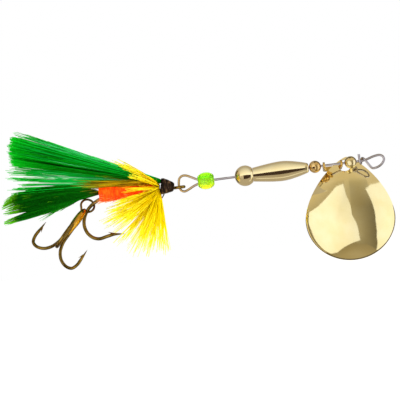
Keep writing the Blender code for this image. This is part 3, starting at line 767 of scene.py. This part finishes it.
def wing():
    """The dense upper lock of hair, in small locks that each keep a slope, a shade and a length."""
    count, locks, longest = 1500, 120, 30.7
    lock_slope = np.sort(uniform(0.262, 0.452, locks))
    lock_tint = normal(0.42, 0.2, locks)
    lock = RNG.integers(0, locks, count)
    slope = lock_slope[lock] + normal(0, 0.0035, count)
    sideways = normal(0, 0.042, count)
    full = RNG.random(count) < 0.88
    reach = np.where(full, uniform(28.4, longest, count), uniform(18, 28.5, count))
    reach += normal(0, 0.5, locks)[lock] - np.clip((slope - 0.38) * 18, 0, 1.8)
    reach = np.minimum(reach, longest)
    root_x, root_y = uniform(-46.3, -45.7, count), normal(0, 0.3, count)
    starts = vectors(root_x, root_y, 0.75 + (slope - 0.225) * 2.9 + normal(0, 0.06, count))
    directions = vectors(-1, sideways, slope - 0.01)
    sag = vectors(0, normal(0, 0.35, count), normal(-0.02, 0.16, count))
    sway = vectors(0, normal(0, 0.12, count), normal(0, 0.07, count))
    lengths = reach * np.linalg.norm(directions, axis=1)
    paths = bent(starts, unit(directions), lengths, sag, sway)
    tints = lock_tint[lock] + normal(0, 0.15, count)
    shadow_slope, shadow_width, light_slope = 0.292, 0.026, 0.42
    tints -= 0.34 * np.exp(-(((slope - shadow_slope) / shadow_width) ** 2))
    tints += 0.12 * (slope > light_slope)
    groups = [(paths, taper(count, 0.078, 0.042), tints), top_edge(), underhair()]
    place(grown("wing_hairs", groups, WING), "fly", ["wing_hair"])


def top_edge():
    """Paler hairs that part from the wing's upper edge and end one after another along it."""
    count, rows = 84, 14
    root_x, root_y = uniform(-46.5, -45.9, count), normal(0, 0.2, count)
    starts = vectors(root_x, root_y, uniform(1.4, 1.65, count))
    slope = 0.455 + 0.04 * (np.arange(count) % rows) / rows + normal(0, 0.0007, count)
    directions = vectors(-1, normal(0, 0.03, count), slope)
    reach = 29.6 * uniform(0.14, 1.0, count) ** 0.6
    sag = vectors(0, normal(0, 0.3, count), normal(0, 0.03, count))
    paths = bent(starts, unit(directions), reach * 1.1, sag)
    return paths, taper(count, 0.062, 0.045), normal(0.84, 0.1, count)


def underhair():
    """Sparse, paler hairs below the wing's dense lock."""
    count, locks = 200, 26
    lock_slope = 0.04 + 0.225 * (np.arange(locks) + uniform(0.1, 0.9, locks)) / locks
    lock = RNG.integers(0, locks, count)
    loose = RNG.random(count) < 0.2
    slope = np.where(loose, uniform(0.05, 0.27, count), lock_slope[lock] + normal(0, 0.0022, count))
    root_x, root_y = uniform(-47.0, -46.0, count), normal(0, 0.15, count)
    starts = vectors(root_x, root_y, 0.9 + slope * 1.2 + normal(0, 0.1, count))
    directions = vectors(-1, normal(0, 0.012, count), slope)
    free = uniform(20, 31, count)
    reach = np.where(loose, free, uniform(26.5, 31, locks)[lock] + normal(0, 0.5, count))
    lock_bend = normal(0, 0.55, locks)
    bend = np.where(loose, normal(0, 0.3, count), lock_bend[lock] + normal(0, 0.05, count))
    sag = vectors(0, normal(0, 0.15, count), bend)
    sway = vectors(0, normal(0, 0.15, count), normal(0, 0.08, count))
    paths = bent(starts, unit(directions), reach, sag, sway)
    return paths, taper(count, 0.07, 0.05), np.where(loose, 0.92, 0.78) + normal(0, 0.1, count)


def hackle_fibres():
    """The collar, in groups of barbs: most hang below, a few stand out at the sides and on top."""
    groups, per, below, sideways = 136, 5, 88, 12
    count = groups * per
    turn = np.concatenate([normal(pi, 0.8, below), TAU * RNG.random(groups - below)])
    share = np.concatenate([(RNG.permutation(below) + 0.5) / below, RNG.random(groups - below)])
    turn[:sideways] = np.radians(normal(112, 16, sideways)) * np.where(np.arange(sideways) % 2, 1, -1)
    share[:sideways] *= 0.4
    turn = np.repeat(turn, per) + normal(0, 0.05, count)
    down = (1 - np.cos(turn)) / 2
    low = np.interp(down, [0, 0.5, 0.8, 1], [30, 36, 20, 14])
    high = np.interp(down, [0, 0.5, 1], [41, 86, 93])
    angle = np.radians(low + (high - low) * np.repeat(share, per) ** 0.62 + normal(0, 1.8, count))
    outward = round_x(turn)
    directions = unit(outward * np.sin(angle)[:, None] + BACK * np.cos(angle)[:, None])
    starts = np.array([-46.5, 0, -0.2]) + outward
    starts[:, 0] += uniform(-0.35, 0.45, count)
    lengths = np.repeat(uniform(10.6, 14.8, groups), per) * uniform(0.88, 1.0, count)
    lengths *= np.interp(down, [0, 0.45, 0.8], [0.86, 0.72, 1.0])
    lengths *= np.where(down < 0.3, uniform(0.45, 1.0, count), 1.0)
    sag = BACK * uniform(0.2, 1.3, (count, 1)) - outward * uniform(0.1, 0.5, (count, 1))
    paths = bent(starts, directions, lengths, sag, normal(0, 0.1, (count, 3)))
    tints = 0.26 - 0.2 * down + normal(0, 0.12, count)
    piece = grown("hackle_barbs", [(paths, taper(count, 0.11, 0.045), tints)], HACKLE)
    place(piece, "fly", ["hackle_fibres"])


def body_fibres():
    """Darker barbs that lie back along the top of the floss."""
    count = 320
    root_x, root_y = uniform(-50.5, -46.3, count), normal(-0.2, 0.6, count)
    starts = vectors(root_x, root_y, 1.2 + normal(0, 0.2, count))
    slope = normal(0.085, 0.05, count)
    directions = unit(vectors(-1, normal(0, 0.05, count), slope))
    lengths = uniform(5, 14.5, count)
    sag = normal(0, 0.3, (count, 3))
    paths = bent(starts, directions, lengths, sag, normal(0, 0.12, (count, 3)))
    tints = normal(0.5, 0.3, count)
    piece = grown("hackle_back", [(paths, taper(count, 0.065, 0.035), tints)], HACKLE_BACK)
    place(piece, "fly", ())


def floss_fuzz():
    """Loose ends of floss below the body."""
    count = 170
    along = uniform(0.12, 1.0, count)
    axis = np.array(FLOSS_FROM) + (np.array(FLOSS_TO) - np.array(FLOSS_FROM)) * along[:, None]
    radii, distances = np.array(FLOSS_SIDE).T
    radius = np.interp(along * FLOSS_LENGTH, distances, radii)
    outward = round_x(pi + normal(0, 0.5, count))
    starts = axis + outward * (radius - 0.1)[:, None]
    directions = outward * uniform(0.1, 0.5, (count, 1)) + BACK + normal(0, 0.15, (count, 3))
    paths = bent(starts, unit(directions), uniform(0.6, 1.9, count), -0.1 * outward)
    piece = strands("floss_fuzz", paths, taper(count, 0.035, 0.02), RNG.random(count), FUZZ)
    place(piece, "fly", ())


LOBE_STEPS = 12
LOBES = (  # upper edge and lower edge as (x, z), barbs, points at the end, their x, paler on top
    (
        [(-59.0, 0.7), (-60.7, 1.3), (-64.8, 2.65), (-70.3, 3.1), (-77.0, 2.2), (-79.6, 0.7)],
        [(-59.0, 0.1), (-64.0, -0.6), (-70.0, -1.2), (-73.2, -1.5), (-79.8, -1.7)],
        470, 7, -79.0, True,
    ),
    (
        [(-59.0, 0.3), (-64.0, -0.4), (-70.0, -1.1), (-73.2, -1.6), (-75.6, -2.0), (-79.4, -3.1)],
        [(-59.0, 0.05), (-60.6, 0.0), (-61.6, -0.05), (-62.8, -0.3), (-64.4, -1.0), (-69.7, -2.4),
         (-74.6, -3.2), (-79.4, -3.8)],
        260, 2, -78.8, False,
    ),
)


def height_at(x, edge):
    return np.interp(-x, [-p[0] for p in edge], [p[1] for p in edge])


def lobe(upper, lower, count, points, end_x, pale_top, middle_y):
    """Barbs that run between a feather tip's two edges, gathered in small points at their ends."""
    share = np.clip(RNG.beta(0.9, 0.9, count), 0.01, 0.99)
    point = np.minimum((share * points).astype(int), points - 1)
    ends = end_x + uniform(-0.9, 0.7, points)[point] + np.abs(normal(0, 0.7, count))
    early = RNG.random(count) < 0.06
    ends[early] = uniform(-78, -66, early.sum())
    middle = (point + 0.5) / points
    starts = uniform(-60.5, -58.9, count)
    t = np.linspace(0, 1, LOBE_STEPS)
    x = starts[:, None] + (ends - starts)[:, None] * t
    top, bottom = height_at(x, upper), height_at(x, lower)
    gather_from, gather = 0.82, 0.85
    gathered = np.clip((t - gather_from) / (1 - gather_from), 0, 1) * gather
    z = bottom + (top - bottom) * (share[:, None] + (middle - share)[:, None] * gathered)
    z += normal(0, 0.07, (count, 1)) * np.sin(TAU * 0.6 * t + uniform(0, TAU, (count, 1)))
    stray = (RNG.random((count, 1)) < 0.05) * np.where(share > 0.5, 1.0, -1.0)[:, None]
    z += stray * 0.35 * t**4
    y = (middle_y + normal(0, 0.22, (count, 1)) * (0.3 + t)) * np.clip(t * 4 + 0.25, 0, 1)
    edge = share if pale_top else 1 - share
    tints = 0.45 + 0.4 * edge**22 + normal(0, 0.06, count) + normal(0, 0.1, points)[point]
    return np.stack([x, y, z], 2), taper(count, 0.075, 0.028, LOBE_STEPS), tints


def stray_barbs(middle_y):
    """A few pale barbs that hang below the feather."""
    count = 16
    x = uniform(-68.5, -64.4, count)
    starts = vectors(x, middle_y, -0.9 + (x + 63) * 0.22)
    slope = uniform(0.3, 0.5, count)
    directions = unit(vectors(-1, normal(0, 0.05, count), -slope))
    lengths = uniform(1.5, 5.2, count)
    paths = bent(starts, directions, lengths, np.zeros((count, 3)), steps=LOBE_STEPS)
    return paths, taper(count, 0.045, 0.025, LOBE_STEPS), uniform(0.85, 1.0, count)


def tail():
    for node, middle_y in (("tail_feather_near", -0.48), ("tail_feather_far", 0.48)):
        groups = [lobe(*shape, middle_y) for shape in LOBES] + [stray_barbs(middle_y)]
        place(grown(node + "_barbs", groups, TAIL), "fly", [node])


# ---- studio

BLADE_CENTRE = Vector((-6.8, -1.0, -10.7)) * MM


def direction(azimuth, elevation):
    """Unit vector for an azimuth from -Y towards +X and an elevation, in degrees."""
    a, e = radians(azimuth), radians(elevation)
    return Vector((cos(e) * sin(a), -cos(e) * cos(a), sin(e)))


def add_switch(tree, factor, first, second):
    """A shader that goes from first to second as factor goes from 0 to 1."""
    mix = add_node(tree, "MixShader")
    for index, socket in enumerate((factor, first, second)):
        tree.links.new(socket, mix.inputs[index])
    return mix.outputs["Shader"]


def glow(name, points, faces, strengths, colour, near=None):
    """A glowing studio surface that the camera doesn't see. Each point has its own strength.

    With near, only rays shorter than that meet it, so that no other piece mirrors it.
    """
    mesh = bpy.data.meshes.new(name)
    mesh.from_pydata(points, [], faces)
    attribute = mesh.attributes.new("strength", "FLOAT", "POINT")
    attribute.data.foreach_set("value", strengths)
    look = bpy.data.materials.new(name)
    look.use_nodes = True
    tree = look.node_tree
    tree.nodes.clear()
    emission = add_node(tree, "Emission", {"Color": (*colour, 1.0)})
    tree.links.new(add_attribute(tree, "strength"), emission.inputs["Strength"])
    surface = emission.outputs["Emission"]
    if near:
        far = add_node(tree, "Math")
        far.operation = "GREATER_THAN"
        far.inputs[1].default_value = near
        tree.links.new(add_node(tree, "LightPath").outputs["Ray Length"], far.inputs[0])
        clear = add_node(tree, "BsdfTransparent").outputs["BSDF"]
        surface = add_switch(tree, far.outputs["Value"], surface, clear)
    tree.links.new(surface, add_node(tree, "OutputMaterial").inputs["Surface"])
    obj = new_object(name, mesh, look)
    obj.visible_camera = False
    obj.visible_shadow = False
    return obj


def card(name, corners, middle):
    """A white card whose corners are (azimuth, elevation, strength) as seen from the blade."""
    corners, pieces, distance = np.array(corners), 4, 0.9
    edge = []
    for here, there in zip(corners, np.roll(corners, -1, 0)):
        edge += [here + (there - here) * i / pieces for i in range(pieces)]
    spots = [(*corners[:, :2].mean(0), middle), *edge]
    points = [BLADE_CENTRE + direction(a, e) * distance for a, e, _ in spots]
    count = len(edge)
    faces = [(0, 1 + i, 1 + (i + 1) % count) for i in range(count)]
    glow(name, points, faces, [s for _, _, s in spots], (1, 1, 1))


def sheet(name, rows, colour, distance):
    """A curved flat given as rows of (azimuth, elevation, strength), all rows as long as each other."""
    grid = np.array(rows, float)
    fine = np.linspace(0, 1, 6)[:-1]
    for axis in (0, 1):
        grid = np.moveaxis(grid, axis, 0)
        steps = [a + (b - a) * t for a, b in zip(grid, grid[1:]) for t in fine]
        grid = np.moveaxis(np.stack([*steps, grid[-1]]), 0, axis)
    high, wide = grid.shape[:2]
    points = [BLADE_CENTRE + direction(a, e) * distance for a, e, _ in grid.reshape(-1, 3)]
    glow(name, points, grid_faces(high, wide, ring=False), list(grid[:, :, 2].ravel()), colour)


def level(elevation, azimuths, strengths):
    """A row of a sheet, all at one elevation."""
    strengths = np.broadcast_to(strengths, len(azimuths))
    return [(azimuth, elevation, strength) for azimuth, strength in zip(azimuths, strengths)]


def cards():
    """The soft boxes and grey flats that the polished blade mirrors."""
    card("card_left", [
        (-18, 35, 1.0), (-30, 35, 1.1), (-42, 28, 1.15), (-54, 21, 1.15), (-64, 16, 1.15), (-65, 1, 1.15),
        (-63, -13, 1.15), (-63, -35, 1.15), (-63, -49, 1.15), (-58, -57, 1.15), (-39, -60, 1.1),
        (-9, -53, 1.05), (20, -46, 0.95), (17, -37, 0.95), (14.5, -22, 0.95), (12, -10, 0.95), (7.5, 2, 0.95),
        (0, 13, 0.95), (-11, 25, 0.9),
    ], 1.2)
    card("card_right", [
        (58, 28, 1.05), (47, 26, 1.0), (48, 18, 1.0), (48, 9, 1.05), (47, -9, 1.05), (49, -22, 1.05),
        (53, -38, 1.1), (66, -56, 1.1), (85, -56, 1.1), (105, -40, 1.1), (105, 0, 1.1), (95, 28, 1.1),
        (72, 27, 1.05),
    ], 1.2)
    warm = (1.0, 0.86, 0.6)
    columns = (-110, -68, -50, -32, -14, 25, 60, 110)
    sheet("flat_top", [
        [(-110, 8, 0.6), (-64, 13, 0.44), (-42, 25, 0.44), (-30, 32, 0.44), (-14, 34, 0.46), (25, 30, 0.5),
         (60, 26, 0.6), (110, 24, 0.6)],
        [(-110, 26, 0.66), (-66, 27, 0.66), (-48, 38, 0.66), (-32, 43, 0.66), (-14, 43, 0.66), (25, 42, 0.66),
         (60, 38, 0.66), (110, 36, 0.66)],
        level(60, columns, 0.7),
        level(78, columns, 0.7),
    ], warm, 1.0)
    sheet("flat_band", [
        [(-16, 40, 0.64), (18, 41, 0.62), (58, 36, 0.62)],
        [(-16, 29, 0.52), (20, 29, 0.42), (54, 27, 0.4)],
        [(-9, 13, 0.5), (22, 12, 0.33), (52, 12, 0.17)],
        level(-10, (1, 26, 50), (0.5, 0.32, 0.15)),
        [(10, -37, 0.46), (32, -37, 0.3), (56, -38, 0.15)],
        [(12, -52, 0.34), (38, -52, 0.28), (68, -56, 0.2)],
    ], (1.0, 0.88, 0.62), 0.95)
    sheet("flat_bottom", [
        [(-78, -46, 0.2), (-40, -50, 0.26), (0, -46, 0.27), (38, -46, 0.27), (75, -52, 0.3)],
        [(-78, -64, 0.34), (-40, -68, 0.4), (0, -68, 0.42), (38, -68, 0.42), (75, -64, 0.4)],
        [(-78, -78, 0.34), (-40, -80, 0.4), (0, -80, 0.42), (38, -80, 0.42), (75, -78, 0.4)],
        level(-89, (-78, -40, 0, 38, 75), 0.08),
    ], (1.0, 0.84, 0.55), 0.97)
    sheet("flat_back", [
        level(elevation, (140, 180, 220), (side, middle, side))
        for elevation, side, middle in ((-35, 0.2, 0.5), (10, 0.25, 0.65), (50, 0.2, 0.5))
    ], (1.0, 0.96, 0.9), 1.0)
    sheet("flat_left", [
        [(-60, 11, 0.34), (-74, 10, 0.22), (-82, 8, 0.8), (-112, 4, 0.8)],
        level(-56, (-60, -74, -82, -112), (0.34, 0.18, 0.8, 0.8)),
    ], warm, 0.96)


def tent():
    """Strips close round the spindle and ball, seen only in their polish: these give the bands."""
    pale, tan, brown = (1.0, 0.98, 0.92), (1.0, 0.9, 0.78), (1.0, 0.62, 0.5)
    front, spindle_end, ball_middle, rear = -13.4, -26.2, -28.9, -31.8
    strips = (  # from and to an angle above -Y, strength at both, colour, from and to an X
        (4.5, 32, 1.35, 1.0, pale, front, rear),
        (32, 80, 1.0, 0.5, pale, front, rear),
        (80, 180, 0.5, 0.5, tan, front, rear),
        (-26, 4.5, 0.06, 0.05, brown, front, spindle_end),
        (-54, -26, 0.52, 0.46, tan, front, spindle_end),
        (-64, -54, 0.9, 1.0, pale, front, spindle_end),
        (-26, 4.5, 0.06, 0.05, brown, spindle_end, ball_middle),
        (-26, 4.5, 0.55, 0.7, tan, ball_middle, rear),
        (-64, -26, 0.52, 0.5, tan, spindle_end, rear),
        (-180, -64, 0.5, 0.5, tan, front, rear),
    )
    radius, reach, piece = 3.6 * MM, 4.3 * MM, 6
    for i, (start, end, first, last, colour, x1, x2) in enumerate(strips):
        count = max(2, int((end - start) / piece))
        shares = np.arange(count + 1) / count
        angles = np.radians(start + (end - start) * shares)
        points = [(x * MM, -radius * cos(a), radius * sin(a)) for x in (x1, x2) for a in angles]
        strengths = np.tile(first + (last - first) * shares, 2)
        faces = grid_faces(2, count + 1, ring=False)
        strip = glow(f"tent_strip_{i + 1}", points, faces, strengths, colour, reach)
        strip.visible_diffuse = False
        strip.visible_transmission = False


def surroundings():
    """White to the camera, dim and warm in the polish, and soft warm light elsewhere."""
    world = bpy.data.worlds.new("studio")
    bpy.context.scene.world = world
    world.use_nodes = True
    tree = world.node_tree
    tree.nodes.remove(tree.nodes["Background"])
    around, mirrored, seen = (
        add_node(tree, "Background", {"Color": (*colour, 1)}).outputs["Background"]
        for colour in ((0.34, 0.30, 0.23), (0.14, 0.12, 0.09), (1, 1, 1))
    )
    rays = add_node(tree, "LightPath").outputs
    unseen = add_switch(tree, rays["Is Glossy Ray"], around, mirrored)
    surface = add_switch(tree, rays["Is Camera Ray"], unseen, seen)
    tree.links.new(surface, tree.nodes["World Output"].inputs["Surface"])


def lamps():
    for name, spot, size, power in (
        ("key", (-0.25, -0.55, 0.75), 0.6, 7.0),
        ("fill", (0.35, -0.75, 0.25), 0.5, 3.0),
        ("back", (0.0, 0.7, 0.5), 0.6, 4.0),
    ):
        light = bpy.data.lights.new(name, "AREA")
        light.size = size
        light.energy = power
        lamp = link_object(name, light)
        lamp.location = spot
        lamp.rotation_euler = (-Vector(spot)).to_track_quat("-Z", "Y").to_euler()
        lamp.visible_camera = False
        lamp.visible_glossy = False


def floor():
    mesh = bpy.data.meshes.new("floor")
    half, z = 4.0, -0.15
    corners = [(-half, -half, z), (half, -half, z), (half, half, z), (-half, half, z)]
    mesh.from_pydata(corners, [], [(0, 1, 2, 3)])
    look, tree, shader = new_material("pale_floor")
    grey = add_range(tree, add_noise(tree, 3), *NOISE, 0.93, 0.96)
    tree.links.new(grey, shader.inputs["Base Color"])
    set_inputs(shader, {"Roughness": 0.9, "Emission Color": (1, 1, 1, 1), "Emission Strength": 0.85})
    piece = new_object("floor", mesh, look)
    piece.visible_glossy = False


def camera():
    made = bpy.data.cameras.new("camera")
    made.lens = 150
    made.sensor_width = 36
    made.clip_start = 0.01
    view = link_object("camera", made)
    view.location = (-0.03804, -0.352, -0.00387)
    view.rotation_euler = (radians(90), radians(7.3), 0)
    bpy.context.scene.camera = view


for build in (
    shaft, beads, body, lock_bead, clevis, blade, fly_hook, treble, head, floss, floss_fuzz, wing,
    hackle_fibres, body_fibres, tail, surroundings, cards, tent, lamps, floor, camera,
):
    build()
bpy.context.scene.view_settings.view_transform = "Standard"
